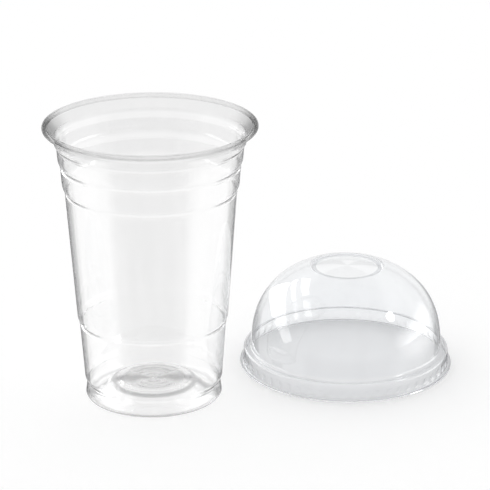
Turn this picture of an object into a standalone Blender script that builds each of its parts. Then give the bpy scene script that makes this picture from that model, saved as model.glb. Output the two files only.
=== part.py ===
"""Clear plastic cup with its dome lid, taken off and lying beside it.

Each piece is one thin sheet of clear plastic, drawn into shape: an outline turned round its
axis and given the thickness of the sheet. Metres, +Z up, origin under the middle of the pair.
"""
from math import asin, atan2, cos, hypot, pi, radians, sin, tan

import bmesh
import bpy

SHEET = 0.00045

# The cup's rolled rim
RIM_RADIUS = 0.0490
RIM_DEPTH = 0.0053
RIM_FLARE = 0.00245
CURL_RADIUS = 0.0013
CURL_TIP_DEGREES = -135.0
CURL_STEPS = 7

# The cup's wall is five sections, and each rounds in to an undercut groove. A section is given
# as its straight height, the height of the rounding at its foot, how deep the groove is, and how
# far the next section's lip stands out from the groove's bottom.
COLLAR = (0.0028, 0.0010, 0.0014, 0.0004)
UPPER_BAND = (0.0048, 0.0041, 0.0025, 0.0013)
LOWER_BAND = (0.0066, 0.0043, 0.0023, 0.0010)
LONG_WALL = (0.0594, 0.0033, 0.0023, 0.0013)
LOWER_WALL = (0.0256, 0.0026, 0.0017, 0.0005)
SECTIONS = (COLLAR, UPPER_BAND, LOWER_BAND, LONG_WALL, LOWER_WALL)
DRAFT_DEGREES = 4.1
ROUNDING_STEPS = 2
GROOVE_ROUND = 0.0004
GROOVE_END_DEGREES = 250.0
GROOVE_STEPS = 2
LEDGE_SLOPE_DEGREES = 20.0

# The cup's foot and its pushed-up base
FOOT_HEIGHT = 0.0072
FOOT_FLARE = 0.0008
FOOT_CORNER = 0.0016
CONTACT_WIDTH = 0.0018
PANEL_RADIUS = 0.0165
PANEL_RISE = 0.0062
RIPPLE_HEIGHT = 0.00045
RIPPLE_PITCH = 0.0068
SLOPE_STEPS = 4
PANEL_STEPS = 5

# The lid's skirt, which snaps over the cup's rim. Heights are from the surface it lies on.
LID_CLEARANCE = 0.0001
SEAT_HEIGHT = 0.0046
SHOULDER_HEIGHT = 0.0083
SHOULDER_ROUND = 0.0016
SKIRT_FLARE = 0.00015
BRIM_WIDTH = 0.0013
BRIM_FILLET = 0.0004

# The snap ribs are dents in the skirt, just below the seat of the cup's rim
RIB_COUNT = 56
RIB_DEPTH = 0.00055
RIB_BELOW_SEAT = 0.0012
RIB_LENGTH = 0.0010
RIB_FADE = 0.0008

# The lid's dome and the hole in its top
DOME_GAP = 0.00375
DOME_RISE = 0.0410
DOME_FULLNESS = 2.3
DOME_FILLET = 0.0016
DOME_STEPS = 8
HOLE_RADIUS = 0.0150
HOLE_RING = 0.0015
HOLE_DROP = 0.0006

# The lid's axis, measured from the cup's axis
LID_ASIDE = 0.0915
LID_BEHIND = 0.0370

CUP_SEGMENTS = 40
MERGE_DISTANCE = 0.00001
CLEAR_PLASTIC = (0.93, 0.95, 0.96)


def collar_radius():
    """Outer radius of the wall just under the rolled rim."""
    return RIM_RADIUS - 2.0 * CURL_RADIUS - RIM_FLARE


def groove_height(lip):
    """How far a groove and the ledge under it go down, for how far its lip stands out."""
    end = radians(GROOVE_END_DEGREES)
    ledge = lip - GROOVE_ROUND * (1.0 + cos(end))
    return GROOVE_ROUND * (1.0 - sin(end)) + ledge * tan(radians(LEDGE_SLOPE_DEGREES))


def cup_height():
    """The rim, the five wall sections with a groove under each, and the foot."""
    walls = sum(straight + rounding + groove_height(lip)
                for straight, rounding, depth, lip in SECTIONS)
    return RIM_DEPTH + walls + FOOT_HEIGHT


def skirt_radius():
    """Outer radius of the lid's skirt where the cup's rim snaps in."""
    return RIM_RADIUS + LID_CLEARANCE + SHEET


def brim_radius():
    """Outer radius of the lid's brim."""
    return skirt_radius() + SKIRT_FLARE + BRIM_WIDTH


def arc(centre, radii, start, end, steps):
    """Points on an elliptical arc between two angles in degrees, both ends included."""
    angles = [radians(start + (end - start) * i / steps) for i in range(steps + 1)]
    return [(centre[0] + radii[0] * cos(a), centre[1] + radii[1] * sin(a)) for a in angles]


def rolled_rim():
    """The curl, from the sheet's free edge up its outside and over, then the wall's top."""
    centre = (RIM_RADIUS - CURL_RADIUS, cup_height() - CURL_RADIUS)
    hidden = CURL_RADIUS - SHEET
    curl = arc(centre, (hidden, hidden), CURL_TIP_DEGREES, 180.0, CURL_STEPS)
    return curl + [(collar_radius(), cup_height() - RIM_DEPTH)]


def wall_section(top, section):
    """A tapered stretch of wall, its groove, and the lip where the next section starts."""
    straight, rounding, depth, lip = section
    radius = top[0] - straight * tan(radians(DRAFT_DEGREES))
    reach = depth - GROOVE_ROUND
    foot = (radius - reach, top[1] - straight)
    curve = arc(foot, (reach, rounding), 0.0, -90.0, ROUNDING_STEPS)
    middle = (foot[0], curve[-1][1] - GROOVE_ROUND)
    turn = arc(middle, (GROOVE_ROUND, GROOVE_ROUND), 90.0, GROOVE_END_DEGREES, GROOVE_STEPS)
    lip_height = curve[-1][1] - groove_height(lip)
    return curve + turn[1:] + [(radius - depth + lip, lip_height)]


def base_height(radius, foot_inner):
    """Height of the pushed-up base: a smooth slope, then a panel with rings in it."""
    if radius < PANEL_RADIUS:
        ripple = 1.0 - cos(2.0 * pi * (PANEL_RADIUS - radius) / RIPPLE_PITCH)
        return PANEL_RISE + 0.5 * RIPPLE_HEIGHT * ripple
    share = (foot_inner - radius) / (foot_inner - PANEL_RADIUS)
    return 0.5 * PANEL_RISE * (1.0 - cos(pi * share))


def cup_base(foot_top):
    """The foot, the ring that it stands on, and the pushed-up base in to the axis."""
    foot_radius = foot_top[0] + FOOT_FLARE
    corner = (foot_radius - FOOT_CORNER, FOOT_CORNER)
    foot_inner = corner[0] - CONTACT_WIDTH
    slope = foot_inner - PANEL_RADIUS
    radii = [foot_inner - slope * i / SLOPE_STEPS for i in range(SLOPE_STEPS + 1)]
    radii += [PANEL_RADIUS * (1.0 - i / PANEL_STEPS) for i in range(1, PANEL_STEPS + 1)]
    rounded = arc(corner, (FOOT_CORNER, FOOT_CORNER), 0.0, -90.0, ROUNDING_STEPS)
    return rounded + [(radius, base_height(radius, foot_inner)) for radius in radii]


def cup_outline():
    """The cup's outer side, from the rim's free edge down to the middle of the base."""
    points = rolled_rim()
    for section in SECTIONS:
        points += wall_section(points[-1], section)
    return points + cup_base(points[-1])


def dome_outline():
    """The hole's sunk ring, the dome, and the fillet that ends in the shoulder."""
    dome_radius = skirt_radius() - DOME_GAP
    foot = SHOULDER_HEIGHT + DOME_FILLET
    power = 2.0 / DOME_FULLNESS
    ring_radius = HOLE_RADIUS + HOLE_RING
    crest = asin(((ring_radius + SHEET) / dome_radius) ** (1.0 / power))
    angles = [crest + (0.5 * pi - crest) * i / DOME_STEPS for i in range(DOME_STEPS + 1)]
    dome = [(dome_radius * sin(a) ** power, foot + DOME_RISE * max(cos(a), 0.0) ** power)
            for a in angles]
    ring_height = dome[0][1] - HOLE_DROP
    centre = (dome_radius + DOME_FILLET, foot)
    fillet = arc(centre, (DOME_FILLET, DOME_FILLET), 180.0, 270.0, ROUNDING_STEPS)
    return [(HOLE_RADIUS, ring_height), (ring_radius, ring_height)] + dome + fillet[1:]


def rib_heights():
    """Heights on the skirt where the snap ribs fade in, are full, are full, and fade out."""
    full = SEAT_HEIGHT - RIB_BELOW_SEAT
    low = full - RIB_LENGTH
    return (SEAT_HEIGHT + RIB_FADE, full, low, low - RIB_FADE)


def skirt_outline():
    """The rounded shoulder, the skirt with a row of points at each rib height, and the brim."""
    top = skirt_radius() - SKIRT_FLARE
    bottom = skirt_radius() + SKIRT_FLARE
    centre = (top - SHOULDER_ROUND, SHOULDER_HEIGHT - SHOULDER_ROUND)
    shoulder = arc(centre, (SHOULDER_ROUND, SHOULDER_ROUND), 90.0, 0.0, ROUNDING_STEPS)
    drop = centre[1] - SHEET - BRIM_FILLET
    rows = [(top + (bottom - top) * (centre[1] - height) / drop, height)
            for height in rib_heights()]
    brim = [(bottom, SHEET + BRIM_FILLET), (bottom + BRIM_FILLET, SHEET), (brim_radius(), SHEET)]
    return shoulder + rows + brim


def turned_surface(name, outline, segments, collection):
    """An object whose outline is turned into an open surface round its own Z axis."""
    mesh = bpy.data.meshes.new(name)
    links = [(i, i + 1) for i in range(len(outline) - 1)]
    mesh.from_pydata([(radius, 0.0, height) for radius, height in outline], links, [])
    turned = bpy.data.objects.new(name, mesh)
    collection.objects.link(turned)
    screw = turned.modifiers.new("Turn", "SCREW")
    screw.steps = segments
    screw.render_steps = segments
    screw.use_merge_vertices = True
    screw.merge_threshold = MERGE_DISTANCE
    screw.use_smooth_shade = True
    return turned


def apply_modifiers(target):
    """Replace the object's mesh by the one that its modifiers make."""
    graph = bpy.context.evaluated_depsgraph_get()
    shaped = bpy.data.meshes.new_from_object(target.evaluated_get(graph))
    target.modifiers.clear()
    target.data = shaped


def add_sheet(target):
    """Give an open surface the sheet's thickness, on its inner side."""
    sheet = target.modifiers.new("Sheet", "SOLIDIFY")
    sheet.thickness = SHEET
    sheet.offset = -1.0
    sheet.use_even_offset = True


def press_ribs(lid):
    """Double the columns from the ribs down, and press every second one in as a snap rib."""
    fade_top, full_top, full_low = rib_heights()[:3]
    shaped = bmesh.new()
    shaped.from_mesh(lid.data)
    level = [edge for edge in shaped.edges
             if abs(edge.verts[0].co.z - edge.verts[1].co.z) < MERGE_DISTANCE
             and abs(hypot(*edge.verts[0].co.xy) - hypot(*edge.verts[1].co.xy)) < MERGE_DISTANCE
             and edge.verts[0].co.z < fade_top + MERGE_DISTANCE]
    split = bmesh.ops.subdivide_edges(shaped, edges=level, cuts=1)
    added = [item for item in split["geom_inner"] if isinstance(item, bmesh.types.BMVert)]
    for vertex in added:
        radius = hypot(*vertex.co.xy) / cos(pi / RIB_COUNT)
        if full_low - MERGE_DISTANCE < vertex.co.z < full_top + MERGE_DISTANCE:
            radius -= RIB_DEPTH
        angle = atan2(vertex.co.y, vertex.co.x)
        vertex.co.x = radius * cos(angle)
        vertex.co.y = radius * sin(angle)
    shaped.to_mesh(lid.data)
    shaped.free()


def clear_plastic(name):
    """Clear, glossy plastic."""
    material = bpy.data.materials.new(name)
    material.use_nodes = True
    shader = material.node_tree.nodes["Principled BSDF"]
    shader.inputs["Base Color"].default_value = (*CLEAR_PLASTIC, 1.0)
    shader.inputs["Roughness"].default_value = 0.05
    shader.inputs["Metallic"].default_value = 0.0
    shader.inputs["Transmission Weight"].default_value = 0.9
    shader.inputs["IOR"].default_value = 1.57
    return material


def make_cup(collection, axis):
    """The cup, turned and given its sheet."""
    cup = turned_surface("cup", cup_outline(), CUP_SEGMENTS, collection)
    cup.location = (axis[0], axis[1], 0.0)
    cup.data.materials.append(clear_plastic("cup_plastic"))
    add_sheet(cup)


def make_lid(collection, axis):
    """The dome lid, turned, ribbed and given its sheet."""
    lid = turned_surface("dome_lid", dome_outline() + skirt_outline(), RIB_COUNT, collection)
    apply_modifiers(lid)
    press_ribs(lid)
    lid.location = (axis[0], axis[1], 0.0)
    lid.data.materials.append(clear_plastic("lid_plastic"))
    add_sheet(lid)


def axes_of_the_pair():
    """Where both axes stand when the origin is under the middle of the pair's box."""
    left = min(-RIM_RADIUS, LID_ASIDE - brim_radius())
    right = max(RIM_RADIUS, LID_ASIDE + brim_radius())
    front = min(-RIM_RADIUS, LID_BEHIND - brim_radius())
    back = max(RIM_RADIUS, LID_BEHIND + brim_radius())
    middle = (0.5 * (left + right), 0.5 * (front + back))
    return (-middle[0], -middle[1]), (LID_ASIDE - middle[0], LID_BEHIND - middle[1])


def main():
    for leftover in list(bpy.data.objects):
        bpy.data.objects.remove(leftover, do_unlink=True)
    collection = bpy.data.collections.new("plastic_cup_with_lid")
    bpy.context.scene.collection.children.link(collection)
    cup_axis, lid_axis = axes_of_the_pair()
    make_cup(collection, cup_axis)
    make_lid(collection, lid_axis)


main()
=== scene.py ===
"""Looks of the clear plastic cup and its dome lid: fine sheets, plastic, studio and camera."""
from math import asin, cos, pi, radians, sin, tan

import bpy
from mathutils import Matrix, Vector


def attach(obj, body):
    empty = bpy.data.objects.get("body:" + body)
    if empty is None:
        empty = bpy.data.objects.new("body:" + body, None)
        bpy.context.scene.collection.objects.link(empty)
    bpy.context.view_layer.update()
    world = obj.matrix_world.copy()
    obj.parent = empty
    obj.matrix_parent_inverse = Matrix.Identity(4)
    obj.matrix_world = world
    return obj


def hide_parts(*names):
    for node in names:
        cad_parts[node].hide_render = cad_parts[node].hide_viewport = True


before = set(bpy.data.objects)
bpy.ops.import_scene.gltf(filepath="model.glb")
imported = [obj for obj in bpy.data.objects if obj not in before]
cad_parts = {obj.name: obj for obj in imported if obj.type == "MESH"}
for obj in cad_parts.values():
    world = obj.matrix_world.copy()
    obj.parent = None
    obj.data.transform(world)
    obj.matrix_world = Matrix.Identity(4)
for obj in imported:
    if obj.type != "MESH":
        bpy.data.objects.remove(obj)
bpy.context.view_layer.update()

# Sizes of the two pieces, as they are in the part's source
SHEET = 0.00045
RIM_RADIUS = 0.0490
RIM_DEPTH = 0.0053
RIM_FLARE = 0.00245
CURL_RADIUS = 0.0013
CURL_TIP_DEGREES = -135.0
COLLAR = (0.0028, 0.0010, 0.0014, 0.0004)
UPPER_BAND = (0.0048, 0.0041, 0.0025, 0.0013)
LOWER_BAND = (0.0066, 0.0043, 0.0023, 0.0010)
LONG_WALL = (0.0594, 0.0033, 0.0023, 0.0013)
LOWER_WALL = (0.0256, 0.0026, 0.0017, 0.0005)
SECTIONS = (COLLAR, UPPER_BAND, LOWER_BAND, LONG_WALL, LOWER_WALL)
DRAFT_DEGREES = 4.1
GROOVE_ROUND = 0.0004
GROOVE_END_DEGREES = 250.0
LEDGE_SLOPE_DEGREES = 20.0
FOOT_HEIGHT = 0.0072
FOOT_FLARE = 0.0008
FOOT_CORNER = 0.0016
CONTACT_WIDTH = 0.0018
PANEL_RADIUS = 0.0165
PANEL_RISE = 0.0062
RIPPLE_HEIGHT = 0.00045
RIPPLE_PITCH = 0.0068
LID_CLEARANCE = 0.0001
SEAT_HEIGHT = 0.0046
SHOULDER_HEIGHT = 0.0083
SHOULDER_ROUND = 0.0016
SKIRT_FLARE = 0.00015
BRIM_WIDTH = 0.0013
BRIM_FILLET = 0.0004
RIB_COUNT = 56
RIB_DEPTH = 0.00055
RIB_BELOW_SEAT = 0.0012
RIB_LENGTH = 0.0010
RIB_FADE = 0.0008
DOME_GAP = 0.00375
DOME_RISE = 0.0410
DOME_FULLNESS = 2.3
DOME_FILLET = 0.0016
HOLE_RADIUS = 0.0150
HOLE_RING = 0.0015
HOLE_DROP = 0.0006
LID_ASIDE = 0.0915
LID_BEHIND = 0.0370

# How finely the sheets are made here, round the axis and along each stretch of an outline
CUP_SEGMENTS = 240
LID_SEGMENTS = 448
CURL_STEPS = 16
FLARE_STEPS = 5
ROUNDING_STEPS = 6
GROOVE_STEPS = 9
FOOT_STEPS = 5
FOOT_CORNER_STEPS = 8
SLOPE_STEPS = 12
PANEL_STEPS = 16
DOME_STEPS = 40
FILLET_STEPS = 7
SHOULDER_STEPS = 8
SKIRT_STEPS = 18
EDGE_STEPS = 6

# A straight wall has points this far below its top and above its foot, and then at even steps
WALL_BELOW_TOP = [0.0005, 0.0010, 0.0019]
WALL_ABOVE_FOOT = 0.0007
WALL_STEP = 0.012

# Corners that turn more than this many degrees are rounded, on the sheet's outer and inner side.
# A corner's curve reaches this far, or this share of its shorter side. Where that side is longer
# than the reach by CORNER_ROOM times, one more point stands CORNER_GUARD reaches past the curve.
OUTER_SHARP = 20.0
INNER_SHARP = 42.0
CORNER_REACH = 0.00028
CORNER_SHARE = 0.45
CORNER_STEPS = 2
CORNER_ROOM = 4.0
CORNER_GUARD = 0.4

# The free edge's roundness, the sheet's least thickness at tight corners, and the ribs' form
EDGE_ROUND = 0.5
THICKNESS_KEPT = 0.98
RIB_NARROWNESS = 1.5

# Each point of the meshes is marked with four shares for the plastic: how much it is a groove,
# how much it takes the painted shade of its own edges, how much other painted shade it takes, and
# how much light passes it unbent.
# A groove reaches this far below its middle, and further above it where GROOVE_ABOVE is below 1.
GROOVE_REACH = 0.0015
GROOVE_ABOVE = 0.6
GROOVE_INSIDE = 0.6
RIM_BLEND = 0.0015
BASE_REACH = 0.0136
BASE_SHARE = 0.8
BASE_OPEN = 0.2
SLOPE_OPEN = 0.0060
# Painted shade on the cup: a dark ring on the base's slope, grey over the base's lens and its
# ripples, a dark line round the foot, and darker inside the mouth, at the rim and on the collar
RING_RADIUS = 0.0192
RING_WIDTH = 0.0013
RING_CORE = 0.3
LENS_PAINTED_SHADE = 0.12
RIPPLE_PAINTED_SHADE = 0.10
FOOT_PAINTED_SHADE = 0.9
FOOT_LINE_FULL = 0.5
FOOT_LINE_END = 1.1
MOUTH_PAINTED_SHADE = 0.3
MOUTH_FROM = 0.031
MOUTH_FULL = 0.025
MOUTH_SPARED = 0.6
RIM_PAINTED_SHADE = 0.2
COLLAR_PAINTED_SHADE = 0.12
COLLAR_FROM = 0.017
RIM_SOFTNESS = 0.94
SKIRT_SOFTNESS = 0.05


def collar_radius():
    """The cup's outer radius where the collar meets the rim's flare."""
    return RIM_RADIUS - 2.0 * CURL_RADIUS - RIM_FLARE


def groove_height(lip):
    """How far a groove and the ledge under it go down, for how far its lip stands out."""
    end = radians(GROOVE_END_DEGREES)
    ledge = lip - GROOVE_ROUND * (1.0 + cos(end))
    return GROOVE_ROUND * (1.0 - sin(end)) + ledge * tan(radians(LEDGE_SLOPE_DEGREES))


def cup_height():
    """The cup's height, from what it stands on to the rim's top."""
    walls = sum(straight + rounding + groove_height(lip)
                for straight, rounding, depth, lip in SECTIONS)
    return RIM_DEPTH + walls + FOOT_HEIGHT


def groove_places():
    """Height of the middle of each groove."""
    places = []
    top = cup_height() - RIM_DEPTH
    for straight, rounding, depth, lip in SECTIONS:
        places.append(top - straight - rounding - GROOVE_ROUND)
        top -= straight + rounding + groove_height(lip)
    return places


def skirt_radius():
    """The outer radius of the lid's skirt, halfway up."""
    return RIM_RADIUS + LID_CLEARANCE + SHEET


def brim_radius():
    """The outer radius of the lid's brim."""
    return skirt_radius() + SKIRT_FLARE + BRIM_WIDTH


def arc(centre, radii, start, end, steps):
    """Points on an elliptical arc between two angles in degrees, both ends included."""
    angles = [radians(start + (end - start) * i / steps) for i in range(steps + 1)]
    return [(centre[0] + radii[0] * cos(a), centre[1] + radii[1] * sin(a)) for a in angles]


def soften(points, sharp):
    """Round each corner of an outline that turns more than sharp degrees with a short curve."""
    soft = [points[0]]
    for before, corner, after in zip(points, points[1:], points[2:]):
        back = Vector(before) - Vector(corner)
        ahead = Vector(after) - Vector(corner)
        turn = pi - back.angle(ahead)
        if turn < radians(sharp):
            soft.append(corner)
            continue
        reach = min(CORNER_REACH, CORNER_SHARE * back.length, CORNER_SHARE * ahead.length)
        start = Vector(corner) + back.normalized() * reach
        end = Vector(corner) + ahead.normalized() * reach
        if CORNER_ROOM * reach < back.length:
            soft.append(tuple(start + CORNER_GUARD * reach * back.normalized()))
        for i in range(CORNER_STEPS + 1):
            t = i / CORNER_STEPS
            point = start * (1 - t) ** 2 + Vector(corner) * 2 * t * (1 - t) + end * t * t
            soft.append(tuple(point))
        if CORNER_ROOM * reach < ahead.length:
            soft.append(tuple(end + CORNER_GUARD * reach * ahead.normalized()))
    soft.append(points[-1])
    return soft


def along(start, end, shares):
    """Points at given shares of a straight stretch."""
    return [(start[0] + (end[0] - start[0]) * share, start[1] + (end[1] - start[1]) * share)
            for share in shares]


def run(start, end, steps):
    """Evenly spaced points along a straight stretch, without its two ends."""
    return along(start, end, [i / steps for i in range(1, steps)])


def wall_run(start, end):
    """Points down a straight wall, closer together near its two ends."""
    length = (Vector(end) - Vector(start)).length
    steps = 2 + int(length / WALL_STEP)
    places = WALL_BELOW_TOP + [length * i / steps for i in range(1, steps)]
    places.append(length - WALL_ABOVE_FOOT)
    shares = sorted(place / length for place in places if 0.0 < place < length)
    return along(start, end, shares)


def cup_outline():
    """The cup's outer side, from the rim's free edge down to the middle of the base."""
    centre = (RIM_RADIUS - CURL_RADIUS, cup_height() - CURL_RADIUS)
    hidden = CURL_RADIUS - SHEET
    points = arc(centre, (hidden, hidden), CURL_TIP_DEGREES, 180.0, CURL_STEPS)
    collar_top = (collar_radius(), cup_height() - RIM_DEPTH)
    points += run(points[-1], collar_top, FLARE_STEPS) + [collar_top]
    for straight, rounding, depth, lip in SECTIONS:
        top = points[-1]
        radius = top[0] - straight * tan(radians(DRAFT_DEGREES))
        reach = depth - GROOVE_ROUND
        foot = (radius - reach, top[1] - straight)
        points += wall_run(top, (radius, foot[1]))
        curve = arc(foot, (reach, rounding), 0.0, -90.0, ROUNDING_STEPS)
        middle = (foot[0], curve[-1][1] - GROOVE_ROUND)
        turn = arc(middle, (GROOVE_ROUND, GROOVE_ROUND), 90.0, GROOVE_END_DEGREES,
                   GROOVE_STEPS)
        points += curve + turn[1:]
        points.append((radius - depth + lip, curve[-1][1] - groove_height(lip)))
    foot_radius = points[-1][0] + FOOT_FLARE
    corner = (foot_radius - FOOT_CORNER, FOOT_CORNER)
    points += run(points[-1], (foot_radius, FOOT_CORNER), FOOT_STEPS)
    points += arc(corner, (FOOT_CORNER, FOOT_CORNER), 0.0, -90.0, FOOT_CORNER_STEPS)
    foot_inner = corner[0] - CONTACT_WIDTH
    slope = foot_inner - PANEL_RADIUS
    for i in range(SLOPE_STEPS + 1):
        share = i / SLOPE_STEPS
        points.append((foot_inner - slope * share, 0.5 * PANEL_RISE * (1.0 - cos(pi * share))))
    for i in range(1, PANEL_STEPS + 1):
        radius = PANEL_RADIUS * (1.0 - i / PANEL_STEPS)
        ripple = 1.0 - cos(2.0 * pi * (PANEL_RADIUS - radius) / RIPPLE_PITCH)
        points.append((radius, PANEL_RISE + 0.5 * RIPPLE_HEIGHT * ripple))
    return soften(points, OUTER_SHARP)


def lid_outline():
    """The lid's outer side, from the hole's edge down to the brim's."""
    dome_radius = skirt_radius() - DOME_GAP
    foot = SHOULDER_HEIGHT + DOME_FILLET
    power = 2.0 / DOME_FULLNESS
    ring_radius = HOLE_RADIUS + HOLE_RING
    crest = asin(((ring_radius + SHEET) / dome_radius) ** (1.0 / power))
    angles = [crest + (0.5 * pi - crest) * i / DOME_STEPS for i in range(DOME_STEPS + 1)]
    dome = [(dome_radius * sin(a) ** power, foot + DOME_RISE * max(cos(a), 0.0) ** power)
            for a in angles]
    ring_height = dome[0][1] - HOLE_DROP
    points = [(HOLE_RADIUS, ring_height), (HOLE_RADIUS + 0.5 * HOLE_RING, ring_height),
              (ring_radius, ring_height)] + dome
    points += arc((dome_radius + DOME_FILLET, foot), (DOME_FILLET, DOME_FILLET),
                  180.0, 270.0, FILLET_STEPS)[1:]
    top = skirt_radius() - SKIRT_FLARE
    bottom = skirt_radius() + SKIRT_FLARE
    centre = (top - SHOULDER_ROUND, SHOULDER_HEIGHT - SHOULDER_ROUND)
    points += arc(centre, (SHOULDER_ROUND, SHOULDER_ROUND), 90.0, 0.0, SHOULDER_STEPS)
    low = SHEET + BRIM_FILLET
    points += run((top, centre[1]), (bottom, low), SKIRT_STEPS)
    points += [(bottom, low), (bottom + BRIM_FILLET, SHEET), (brim_radius(), SHEET)]
    return soften(points, OUTER_SHARP)


def ramp_up(value, start, end):
    """0 before start, 1 after end, and smooth between."""
    share = min(max((value - start) / (end - start), 0.0), 1.0)
    return share * share * (3.0 - 2.0 * share)


def snap_ribs(angle, radius, height):
    """The skirt's radius where the ribs are pressed in."""
    full_top = SEAT_HEIGHT - RIB_BELOW_SEAT
    full_low = full_top - RIB_LENGTH
    inside = ramp_up(height, full_low - RIB_FADE, full_low)
    inside *= 1.0 - ramp_up(height, full_top, SEAT_HEIGHT + RIB_FADE)
    if radius < skirt_radius() - 2.0 * SHOULDER_ROUND:
        inside = 0.0
    wave = (0.5 - 0.5 * cos(RIB_COUNT * angle)) ** RIB_NARROWNESS
    return radius - RIB_DEPTH * inside * wave


def plain_wall(angle, radius, height):
    """The radius of a piece that is round all the way."""
    return radius


def distance_to(point, start, end):
    """How far a point lies from a stretch of an outline."""
    stretch = end - start
    share = min(max((point - start).dot(stretch) / stretch.length_squared, 0.0), 1.0)
    return (point - start - share * stretch).length


def inner_side(outline):
    """The sheet's other side: a curve at the sheet's thickness, without loops at tight corners."""
    points = [Vector(point) for point in outline]
    inner = []
    for i, point in enumerate(points):
        ahead = (points[min(i + 1, len(points) - 1)] - points[max(i - 1, 0)]).normalized()
        shifted = point + SHEET * Vector((ahead.y, -ahead.x))
        near = min(distance_to(shifted, a, b) for a, b in zip(points, points[1:]))
        if near > THICKNESS_KEPT * SHEET:
            inner.append((max(shifted.x, 0.0), shifted.y))
    return soften(inner, INNER_SHARP)


def round_edge(start, end):
    """Points round the sheet's free edge, from one side to the other."""
    middle = (Vector(start) + Vector(end)) / 2.0
    side = Vector(start) - middle
    out = Vector((side.y, -side.x))
    angles = [pi * i / EDGE_STEPS for i in range(1, EDGE_STEPS)]
    return [tuple(middle + side * cos(a) + EDGE_ROUND * out * sin(a)) for a in angles]


def sheet_section(outline):
    """The whole section of a sheet, from its inner side round the free edges to the outer.

    Each point is a radius, a height and whether it lies on the outer side.
    """
    inner = inner_side(outline)[::-1]
    edge = round_edge(inner[-1], outline[0])
    section = [(*point, False) for point in inner + edge] + [(*point, True) for point in outline]
    if outline[-1][0] > 1e-7:
        section += [(*point, False) for point in round_edge(outline[-1], inner[0])]
    return section


def cup_zones(radius, height, outer):
    """The four marks of a point of the cup."""
    away = min(max(place - height, GROOVE_ABOVE * (height - place)) for place in groove_places())
    groove = 1.0 - min(away / GROOVE_REACH, 1.0)
    if not outer:
        groove = min(groove, GROOVE_INSIDE)
    if height < cup_height() / 2.0 and radius < PANEL_RADIUS + SLOPE_OPEN:
        groove = max(groove, BASE_OPEN)
    rim = ramp_up(height, cup_height() - RIM_DEPTH - RIM_BLEND, cup_height() - RIM_DEPTH)
    base = 1.0 - ramp_up(radius, BASE_REACH, BASE_REACH + RIM_BLEND)
    # The third mark is painted shade: the ring, the base's lens and ripples, the line round the
    # foot, and the mouth, rim and collar
    ring = 1.0 - ramp_up(abs(radius - RING_RADIUS), RING_CORE * RING_WIDTH, RING_WIDTH)
    ripple = 0.5 + 0.5 * cos(2.0 * pi * (PANEL_RADIUS - radius) / RIPPLE_PITCH)
    lens = base * (LENS_PAINTED_SHADE + RIPPLE_PAINTED_SHADE * ripple)
    line = FOOT_PAINTED_SHADE * (1.0 - ramp_up(height / FOOT_CORNER, FOOT_LINE_FULL, FOOT_LINE_END))
    if radius < RING_RADIUS + 2.0 * RING_WIDTH or not outer:
        line = 0.0
    depth = cup_height() - height
    mouth = 0.0
    if not outer:
        mouth = MOUTH_PAINTED_SHADE * ramp_up(-depth, -MOUTH_FROM, -MOUTH_FULL)
        mouth += (RIM_PAINTED_SHADE - MOUTH_PAINTED_SHADE) * rim
        mouth *= 1.0 - MOUTH_SPARED * min(2.0 * groove, 1.0)
    elif rim < 1.0:
        mouth = COLLAR_PAINTED_SHADE * ramp_up(-depth, -COLLAR_FROM, -RIM_DEPTH)
    # The rim and the base take the painted shade of their own edges
    edge = max(rim, BASE_SHARE * base)
    return groove, edge, max(ring, lens, line, mouth), RIM_SOFTNESS * edge


def lid_zones(radius, height, outer):
    """The four marks of a point of the lid."""
    # The skirt and the ring round the hole take the painted shade of their own edges
    skirt = 1.0 - ramp_up(height, SHOULDER_HEIGHT, SHOULDER_HEIGHT + 2.0 * DOME_FILLET)
    hole = 1.0 - ramp_up(radius, HOLE_RADIUS + HOLE_RING, HOLE_RADIUS + 2.0 * HOLE_RING)
    return 0.0, max(skirt, hole), 0.0, max(SKIRT_SOFTNESS * skirt, hole)


def linked(name, data):
    """A new object in the scene."""
    made = bpy.data.objects.new(name, data)
    bpy.context.scene.collection.objects.link(made)
    return made


def turned(name, section, segments, shape, zones, place, material):
    """A section turned round its axis, with the radius changed by shape, and its zones marked."""
    closed = section[0][0] > 1e-7
    rows = section if closed else section[1:-1]
    verts = []
    for radius, height, outer in rows:
        for j in range(segments):
            angle = 2.0 * pi * j / segments
            shaped = shape(angle, radius, height)
            verts.append((shaped * cos(angle), shaped * sin(angle), height))
    faces = []
    for i in range(len(rows) - (0 if closed else 1)):
        here = i * segments
        below = (i + 1) % len(rows) * segments
        for j in range(segments):
            k = (j + 1) % segments
            faces.append((here + j, below + j, below + k, here + k))
    if not closed:
        last = (len(rows) - 1) * segments
        verts += [(0.0, 0.0, section[0][1]), (0.0, 0.0, section[-1][1])]
        for j in range(segments):
            k = (j + 1) % segments
            faces.append((len(verts) - 2, j, k))
            faces.append((last + j, len(verts) - 1, last + k))
    mesh = bpy.data.meshes.new(name)
    mesh.from_pydata(verts, [], faces)
    mesh.polygons.foreach_set("use_smooth", [True] * len(mesh.polygons))
    marks = [zones(*row) for row in rows for j in range(segments)]
    if not closed:
        marks += [zones(*section[0]), zones(*section[-1])]
    marked = mesh.attributes.new("zones", "FLOAT_COLOR", "POINT")
    marked.data.foreach_set("color", [part for mark in marks for part in mark])
    made = linked(name, mesh)
    made.location = (place[0], place[1], 0.0)
    mesh.materials.append(material)
    return made


def axes_of_the_pair():
    """Where both axes stand when the origin is under the middle of the pair's box."""
    left = min(-RIM_RADIUS, LID_ASIDE - brim_radius())
    right = max(RIM_RADIUS, LID_ASIDE + brim_radius())
    front = min(-RIM_RADIUS, LID_BEHIND - brim_radius())
    back = max(RIM_RADIUS, LID_BEHIND + brim_radius())
    middle = (0.5 * (left + right), 0.5 * (front + back))
    return (-middle[0], -middle[1]), (LID_ASIDE - middle[0], LID_BEHIND - middle[1])
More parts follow.
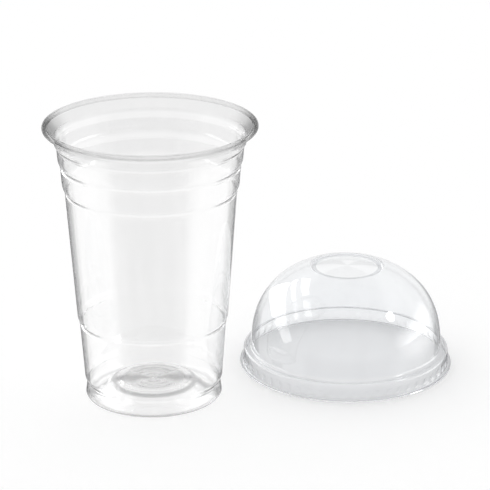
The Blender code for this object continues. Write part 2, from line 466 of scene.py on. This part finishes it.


# Colour of the light that passes two walls, by how far a side turns away from the eye, with
# painted
# light and shade in it: of the cup's walls, grey in the middle with painted light bands and
# painted shade towards the edges; of its grooves, painted dark creases; and of its rim and base,
# painted shade; as seen from in front and from aside
CUP_WALL_PAINTED_LIGHT_AND_SHADE = (
    (0.00, (0.885, 0.885, 0.885)),
    (0.08, (0.895, 0.895, 0.895)),
    (0.25, (0.995, 0.995, 0.995)),
    (0.56, (0.995, 0.995, 0.995)),
    (0.605, (0.94, 0.94, 0.94)),
    (0.635, (0.78, 0.78, 0.78)),
    (0.68, (0.77, 0.77, 0.77)),
    (0.73, (0.82, 0.82, 0.82)),
    (0.80, (0.60, 0.60, 0.605)),
    (0.88, (0.29, 0.29, 0.295)),
    (1.00, (0.13, 0.13, 0.135)),
)
CUP_CREASE = (
    (0.00, (0.995, 0.995, 0.995)),
    (0.34, (0.97, 0.97, 0.97)),
    (0.46, (0.30, 0.30, 0.30)),
    (0.56, (0.08, 0.08, 0.08)),
    (0.80, (0.09, 0.09, 0.09)),
    (1.00, (0.20, 0.20, 0.20)),
)
CUP_EDGE = (
    (0.00, (0.88, 0.88, 0.88)),
    (0.42, (0.85, 0.85, 0.85)),
    (0.62, (0.72, 0.72, 0.72)),
    (0.80, (0.62, 0.62, 0.62)),
    (0.90, (0.46, 0.46, 0.46)),
    (1.00, (0.26, 0.26, 0.26)),
)
CUP_EDGE_ASIDE = (
    (0.00, (0.76, 0.76, 0.76)),
    (0.35, (0.66, 0.66, 0.66)),
    (0.55, (0.34, 0.34, 0.34)),
    (0.75, (0.13, 0.13, 0.13)),
    (1.00, (0.05, 0.05, 0.05)),
)
# The same of the lid's dome, faintly blue grey with painted shade towards the edges, and of its
# skirt and the ring round its hole, with painted shade where they turn away
LID_DOME_PAINTED_SHADE = (
    (0.00, (0.90, 0.915, 0.935)),
    (0.45, (0.92, 0.935, 0.95)),
    (0.70, (0.90, 0.91, 0.925)),
    (0.85, (0.86, 0.87, 0.885)),
    (0.95, (0.72, 0.73, 0.745)),
    (1.00, (0.40, 0.41, 0.43)),
)
LID_EDGE = (
    (0.00, (0.91, 0.92, 0.935)),
    (0.12, (0.90, 0.91, 0.925)),
    (0.40, (0.78, 0.79, 0.805)),
    (0.65, (0.68, 0.69, 0.71)),
    (0.80, (0.56, 0.57, 0.585)),
    (1.00, (0.30, 0.31, 0.33)),
)
# The grey that painted shade turns a point to
PAINTED_SHADE_GREY = (0.26, 0.26, 0.265)
# Colour of the light that comes through the pieces onto the floor
CUP_SHADE = (0.985, 0.985, 0.985)
LID_SHADE = (0.60, 0.61, 0.625)
SKIRT_SHADE = (0.26, 0.268, 0.28)
# The side that a wall turns is taken from a pole, or from a ball round a height on the axis:
# the height's share in it, and that height
CUP_FORM = (0.0, 0.0)
LID_FORM = (1.0, 0.004)
# The plastic's index of refraction, and the one with which light passes it unbent
PLASTIC_IOR = 1.57
FREE_IOR = 1.003
ROUGHNESS = 0.02
# Light that the sheet has mirrored more often than this leaves it, so that none is trapped
MOST_MIRRORINGS = 1
# Slope and start of a few shares: how far an edge counts as aside for its painted shade, by how
# its side is turned; how much painted shade a groove's narrow crease takes and how wide its unbent
# band is, by its mark; and how much of that band is left, by how its side is turned, with the
# least of it
EDGE_ASIDE = (3.0, -1.35)
NARROW_GROOVE = (5.0, -3.0)
WIDE_GROOVE = (2.5, 0.0)
GROOVE_AHEAD = (-3.0, 2.2)
GROOVE_SOFTNESS = 0.6
# Faint upright streaks of thinner and thicker sheet, and its waves, as thermoforming leaves them
STREAK_STRETCH = (1.0, 1.0, 0.12)
STREAK_SCALE = 170.0
STREAK_DETAIL = 3.0
STREAK_TONE = 0.10
STREAK_FROM = 0.4
WAVE_SCALE = 70.0
WAVE_DETAIL = 1.0
WAVE_HEIGHT = 0.00006


def add_node(tree, kind, **settings):
    """A new node with the given settings."""
    node = tree.nodes.new(kind)
    for name, value in settings.items():
        setattr(node, name, value)
    return node


def mix_colours(tree, factor, first, second):
    """A colour between two, each a socket or a plain colour."""
    mix = add_node(tree, "ShaderNodeMix", data_type="RGBA")
    sockets = {item.name: item for item in mix.inputs if item.type == "RGBA"}
    tree.links.new(factor, mix.inputs[0])
    for name, colour in (("A", first), ("B", second)):
        if isinstance(colour, tuple):
            sockets[name].default_value = (*colour, 1.0)
        else:
            tree.links.new(colour, sockets[name])
    return [item for item in mix.outputs if item.type == "RGBA"][0]


def worked_out(tree, operation, *values, clamped=False):
    """The result of one operation on some values, each a socket or a plain number."""
    math = add_node(tree, "ShaderNodeMath", operation=operation, use_clamp=clamped)
    for value, socket in zip(values, math.inputs):
        if isinstance(value, (int, float)):
            socket.default_value = value
        else:
            tree.links.new(value, socket)
    return math.outputs[0]


def scaled(tree, value, slope, start):
    """A value times slope plus start, kept between 0 and 1."""
    return worked_out(tree, "MULTIPLY_ADD", value, slope, start, clamped=True)


def noise(tree, place, scale, detail):
    """Smooth noise from 0 to 1, by a place."""
    made = add_node(tree, "ShaderNodeTexNoise")
    made.inputs["Scale"].default_value = scale
    made.inputs["Detail"].default_value = detail
    tree.links.new(place, made.inputs["Vector"])
    return made.outputs["Fac"]


def facing(tree):
    """A node whose Facing is 0 straight towards the eye, and 1 where a side is turned away."""
    weight = add_node(tree, "ShaderNodeLayerWeight")
    weight.inputs["Blend"].default_value = 0.5
    return weight


def colour_ramp(tree, factor, stops):
    """Colours by a factor from 0 to 1."""
    ramp = add_node(tree, "ShaderNodeValToRGB")
    ramp.color_ramp.interpolation = "EASE"
    elements = ramp.color_ramp.elements
    elements.remove(elements[-1])
    elements[0].position = stops[0][0]
    elements[0].color = (*stops[0][1], 1.0)
    for position, colour in stops[1:]:
        elements.new(position).color = (*colour, 1.0)
    tree.links.new(factor, ramp.inputs["Fac"])
    return ramp.outputs["Color"]


def clear_plastic(name, painted_wall_shade, crease, edge, edge_aside, shade, edge_shade, form):
    """Clear plastic sheet, with painted shade where the piece's side turns away from the eye.

    The walls' colours, with painted light and shade, and crease, the painted dark creases of the
    grooves, both go by how the piece's round side is turned. edge, the painted shade of the rim,
    base and skirt, goes by how their own surface is turned, and edge_aside, a darker painted
    shade, takes its place where the piece's round side is turned away.
    """
    material = bpy.data.materials.new(name)
    material.use_nodes = True
    tree = material.node_tree
    shader = tree.nodes["Principled BSDF"]
    shader.inputs["Roughness"].default_value = ROUGHNESS
    shader.inputs["Transmission Weight"].default_value = 1.0
    shader.inputs["IOR"].default_value = PLASTIC_IOR

    # How the piece's round side and its own surface are turned, and how each point is marked
    place = add_node(tree, "ShaderNodeTexCoord").outputs["Object"]
    middle = add_node(tree, "ShaderNodeVectorMath", operation="MULTIPLY_ADD")
    middle.inputs[1].default_value = (1.0, 1.0, form[0])
    middle.inputs[2].default_value = (0.0, 0.0, -form[1])
    outward = add_node(tree, "ShaderNodeVectorMath", operation="NORMALIZE")
    tree.links.new(place, middle.inputs[0])
    tree.links.new(middle.outputs[0], outward.inputs[0])
    round_side = facing(tree)
    tree.links.new(outward.outputs[0], round_side.inputs["Normal"])
    side = round_side.outputs["Facing"]
    own = facing(tree).outputs["Facing"]
    zones = add_node(tree, "ShaderNodeAttribute", attribute_name="zones")
    split = add_node(tree, "ShaderNodeSeparateColor")
    tree.links.new(zones.outputs["Color"], split.inputs[0])
    groove, edged, darkened = (split.outputs[part] for part in ("Red", "Green", "Blue"))

    # Colour as it is seen: painted light and shade by how the sides turn, painted shade by the
    # marks, and the sheet's faint streaks
    edges = mix_colours(tree, scaled(tree, side, *EDGE_ASIDE), colour_ramp(tree, own, edge),
                        colour_ramp(tree, own, edge_aside))
    seen = mix_colours(tree, edged, colour_ramp(tree, side, painted_wall_shade), edges)
    seen = mix_colours(tree, scaled(tree, groove, *NARROW_GROOVE), seen,
                       colour_ramp(tree, side, crease))
    seen = mix_colours(tree, darkened, seen, PAINTED_SHADE_GREY)
    stretch = add_node(tree, "ShaderNodeVectorMath", operation="MULTIPLY")
    stretch.inputs[1].default_value = STREAK_STRETCH
    tree.links.new(place, stretch.inputs[0])
    streak = noise(tree, stretch.outputs[0], STREAK_SCALE, STREAK_DETAIL)
    thin = scaled(tree, streak, STREAK_TONE, -STREAK_FROM * STREAK_TONE)
    seen = mix_colours(tree, thin, seen, (0.0, 0.0, 0.0))

    # Light on its way to the floor takes the shade instead, and none is tinted from behind
    path = add_node(tree, "ShaderNodeLightPath")
    lit = worked_out(tree, "GREATER_THAN", path.outputs["Diffuse Depth"], 0.5)
    colour = mix_colours(tree, lit, seen, mix_colours(tree, edged, shade, edge_shade))
    behind = add_node(tree, "ShaderNodeNewGeometry").outputs["Backfacing"]
    colour = mix_colours(tree, behind, colour, (1.0, 1.0, 1.0))
    tree.links.new(colour, shader.inputs["Base Color"])

    # The sheet's waves
    bump = add_node(tree, "ShaderNodeBump")
    bump.inputs["Strength"].default_value = 1.0
    bump.inputs["Distance"].default_value = WAVE_HEIGHT
    tree.links.new(noise(tree, place, WAVE_SCALE, WAVE_DETAIL), bump.inputs["Height"])
    tree.links.new(bump.outputs[0], shader.inputs["Normal"])

    # How much light passes unbent
    ahead = worked_out(tree, "MAXIMUM", scaled(tree, side, *GROOVE_AHEAD), GROOVE_SOFTNESS)
    opened = worked_out(tree, "MULTIPLY", scaled(tree, groove, *WIDE_GROOVE), ahead)
    opened = worked_out(tree, "MAXIMUM", opened, zones.outputs["Alpha"])
    trapped = worked_out(tree, "GREATER_THAN", path.outputs["Glossy Depth"], MOST_MIRRORINGS + 0.5)
    opened = worked_out(tree, "MAXIMUM", opened, trapped)
    bending = worked_out(tree, "MULTIPLY_ADD", opened, FREE_IOR - PLASTIC_IOR, PLASTIC_IOR)
    tree.links.new(bending, shader.inputs["IOR"])
    return material


# What the plastic mirrors, by the angle round from straight behind the pair, in half turns: the
# narrow backdrop, a dark gap beside it, a tall panel at each side, and the dim room in front
ROOM_ROUND = (
    (0.00, (1.00, 1.00, 1.00)),
    (0.05, (1.00, 1.00, 1.00)),
    (0.09, (0.05, 0.05, 0.055)),
    (0.25, (0.05, 0.05, 0.055)),
    (0.28, (0.85, 0.85, 0.85)),
    (0.40, (0.95, 0.95, 0.95)),
    (0.46, (1.10, 1.10, 1.10)),
    (0.66, (1.10, 1.10, 1.10)),
    (0.74, (0.35, 0.355, 0.36)),
    (1.00, (0.25, 0.255, 0.26)),
)
ROOM_OVERHEAD = (1.00, 1.00, 1.00)
# Heights from which the room is white above: where it begins, and where it is full
OVERHEAD_FROM = -0.21
OVERHEAD_FULL = -0.03
# How much more of the floor's light comes from behind the pair than from the front
LIGHT_TILT = 0.5
# Panels round the pair, each as pairs of directions along it, in degrees round from straight
# behind and up
PANEL_AWAY = 2.0
PANEL_COLUMNS = 9
WINDOW_WIDE = (((-25, 2), (-32, 29)), ((-46, 11), (-58, 33)), ((-67, 11), (-79, 29)),
               ((-88, 6), (-98, 18)), ((-101, -1), (-111, 7)))
WINDOW_SLIT = (((-30, 30), (-27, 33)), ((-52, 38), (-50, 42)), ((-71, 41), (-71, 45)),
               ((-88, 37), (-90, 41)), ((-100, 31), (-104, 34)))
WINDOW_NARROW = (((-25, 36), (-22, 43)), ((-44, 46), (-44, 54)), ((-63, 52), (-66, 60)),
                 ((-88, 50), (-95, 57)), ((-109, 43), (-120, 48)))
LAMP_OVAL = (((112.5, 36.2), (109.5, 33.8)), ((113, 40.2), (105, 33.8)),
             ((112, 43.5), (102, 35.5)), ((106, 45.7), (98, 39.3)), ((99.5, 46.2), (96.5, 43.8)))
GLOW_WIDE = (((48, -19), (118, -19)), ((46, -9), (121, -9)), ((45, 1), (123, 1)),
             ((46, 11), (121, 11)), ((48, 21), (118, 21)))
# Each panel's name, form and strength, and whether it fades out to its sides
PANELS = (
    ("window_wide", WINDOW_WIDE, 3.4, False),
    ("window_slit", WINDOW_SLIT, 3.4, False),
    ("window_narrow", WINDOW_NARROW, 2.6, False),
    ("lamp_oval", LAMP_OVAL, 10.0, False),
    ("glow_wide", GLOW_WIDE, 4.5, True),
)
# The floor: half its width, its tone, and a little light of its own
FLOOR_HALF = 30.0
FLOOR_TONE = (0.88, 0.88, 0.88)
FLOOR_GLOW = 0.12
# The camera looks down on the pair from in front
LENS = 166.8
CAMERA_PLACE = (-0.0001, -0.9986, 0.4388)
CAMERA_DOWN_DEGREES = 20.48
CAMERA_TURN_DEGREES = 0.224


def make_world():
    """White for what is seen straight or through the plastic, a studio for what it mirrors."""
    world = bpy.data.worlds.new("studio")
    bpy.context.scene.world = world
    world.use_nodes = True
    tree = world.node_tree
    tree.nodes.clear()
    output = add_node(tree, "ShaderNodeOutputWorld")
    place = add_node(tree, "ShaderNodeTexCoord")
    split = add_node(tree, "ShaderNodeSeparateXYZ")
    tree.links.new(place.outputs["Generated"], split.inputs[0])
    aside = worked_out(tree, "ABSOLUTE", split.outputs["X"])
    turn = worked_out(tree, "ARCTAN2", aside, split.outputs["Y"])
    room = colour_ramp(tree, worked_out(tree, "DIVIDE", turn, pi), ROOM_ROUND)
    height = OVERHEAD_FULL - OVERHEAD_FROM
    above = scaled(tree, split.outputs["Z"], 1.0 / height, -OVERHEAD_FROM / height)
    room = mix_colours(tree, above, room, ROOM_OVERHEAD)
    path = add_node(tree, "ShaderNodeLightPath")
    mirrored = worked_out(tree, "SUBTRACT", path.outputs["Glossy Depth"],
                          path.outputs["Diffuse Depth"], clamped=True)
    tilt = worked_out(tree, "MULTIPLY_ADD", split.outputs["Y"], LIGHT_TILT, 1.0)
    floor_lit = scaled(tree, path.outputs["Diffuse Depth"], 1.0, 0.0)
    light = mix_colours(tree, floor_lit, (1.0, 1.0, 1.0), tilt)
    sky = mix_colours(tree, mirrored, light, room)
    background = add_node(tree, "ShaderNodeBackground")
    tree.links.new(sky, background.inputs["Color"])
    tree.links.new(background.outputs[0], output.inputs["Surface"])


def bare_material(name):
    """A new material's tree with only its output, and the material itself."""
    material = bpy.data.materials.new(name)
    material.use_nodes = True
    tree = material.node_tree
    tree.nodes.clear()
    return material, tree, add_node(tree, "ShaderNodeOutputMaterial")


def make_floor():
    """The pale floor, which keeps the pair's shadow and isn't mirrored."""
    mesh = bpy.data.meshes.new("floor")
    half = FLOOR_HALF
    mesh.from_pydata([(-half, -half, 0), (half, -half, 0), (half, half, 0), (-half, half, 0)],
                     [], [(0, 1, 2, 3)])
    floor = linked("floor", mesh)
    material, tree, output = bare_material("floor")
    diffuse = add_node(tree, "ShaderNodeBsdfDiffuse")
    diffuse.inputs["Color"].default_value = (*FLOOR_TONE, 1.0)
    glow = add_node(tree, "ShaderNodeEmission")
    glow.inputs["Strength"].default_value = FLOOR_GLOW
    both = add_node(tree, "ShaderNodeAddShader")
    tree.links.new(diffuse.outputs[0], both.inputs[0])
    tree.links.new(glow.outputs[0], both.inputs[1])
    tree.links.new(both.outputs[0], output.inputs["Surface"])
    mesh.materials.append(material)
    floor.visible_glossy = False


def softbox(name, edges, strength, soft):
    """A lamp panel that is only mirrored by the plastic and seen through it.

    The panel runs from the first pair of directions to the last, and it fades out to its sides
    if it is soft. It lights nothing.
    """
    verts = []
    glow = []
    for i, (left, right) in enumerate(edges):
        for j in range(PANEL_COLUMNS):
            share = j / (PANEL_COLUMNS - 1)
            turn = radians(left[0] + (right[0] - left[0]) * share)
            rise = radians(left[1] + (right[1] - left[1]) * share)
            verts.append((PANEL_AWAY * sin(turn) * cos(rise), PANEL_AWAY * cos(turn) * cos(rise),
                          PANEL_AWAY * sin(rise)))
            inside = sin(pi * i / (len(edges) - 1)) * sin(pi * share)
            glow.append(inside if soft else 1.0)
    corners = [i * PANEL_COLUMNS + j
               for i in range(len(edges) - 1) for j in range(PANEL_COLUMNS - 1)]
    faces = [(k, k + 1, k + PANEL_COLUMNS + 1, k + PANEL_COLUMNS) for k in corners]
    mesh = bpy.data.meshes.new(name)
    mesh.from_pydata(verts, [], faces)
    mesh.attributes.new("glow", "FLOAT", "POINT").data.foreach_set("value", glow)
    panel = linked(name, mesh)
    material, tree, output = bare_material(name)
    lamp = add_node(tree, "ShaderNodeEmission")
    lamp.inputs["Strength"].default_value = strength
    shown = add_node(tree, "ShaderNodeAttribute", attribute_name="glow")
    clear = add_node(tree, "ShaderNodeBsdfTransparent")
    mix = add_node(tree, "ShaderNodeMixShader")
    path = add_node(tree, "ShaderNodeLightPath")
    direct = worked_out(tree, "LESS_THAN", path.outputs["Diffuse Depth"], 0.5)
    tree.links.new(worked_out(tree, "MULTIPLY", shown.outputs["Fac"], direct), mix.inputs[0])
    tree.links.new(clear.outputs[0], mix.inputs[1])
    tree.links.new(lamp.outputs[0], mix.inputs[2])
    tree.links.new(mix.outputs[0], output.inputs["Surface"])
    mesh.materials.append(material)
    panel.visible_camera = False
    panel.visible_diffuse = False
    panel.visible_shadow = False


def make_camera():
    """The camera from which the photo's pair is seen."""
    data = bpy.data.cameras.new("camera")
    camera = linked("camera", data)
    data.sensor_width = 36.0
    data.lens = LENS
    data.clip_start = 0.01
    camera.location = CAMERA_PLACE
    camera.rotation_euler = (radians(90.0 - CAMERA_DOWN_DEGREES), 0.0,
                             radians(CAMERA_TURN_DEGREES))
    bpy.context.scene.camera = camera


make_camera()
make_world()
make_floor()
for panel in PANELS:
    softbox(*panel)
cup_axis, lid_axis = axes_of_the_pair()
cup_plastic = clear_plastic("cup_plastic", CUP_WALL_PAINTED_LIGHT_AND_SHADE, CUP_CREASE, CUP_EDGE, CUP_EDGE_ASIDE,
                            CUP_SHADE, CUP_SHADE, CUP_FORM)
lid_plastic = clear_plastic("lid_plastic", LID_DOME_PAINTED_SHADE, LID_EDGE, LID_EDGE, LID_EDGE,
                            LID_SHADE, SKIRT_SHADE, LID_FORM)
cup = turned("clear_cup", sheet_section(cup_outline()), CUP_SEGMENTS, plain_wall, cup_zones,
             cup_axis, cup_plastic)
lid = turned("clear_lid", sheet_section(lid_outline()), LID_SEGMENTS, snap_ribs, lid_zones,
             lid_axis, lid_plastic)
for piece, node, slot in ((cup, "cup", "cup_plastic"), (lid, "dome_lid", "lid_plastic")):
    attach(piece, "root")
    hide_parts(node)

scene = bpy.context.scene
scene.view_settings.view_transform = "Standard"
scene.cycles.max_bounces = 20
scene.cycles.transmission_bounces = 20
scene.cycles.transparent_max_bounces = 32
scene.cycles.glossy_bounces = 12
scene.cycles.blur_glossy = 0.0
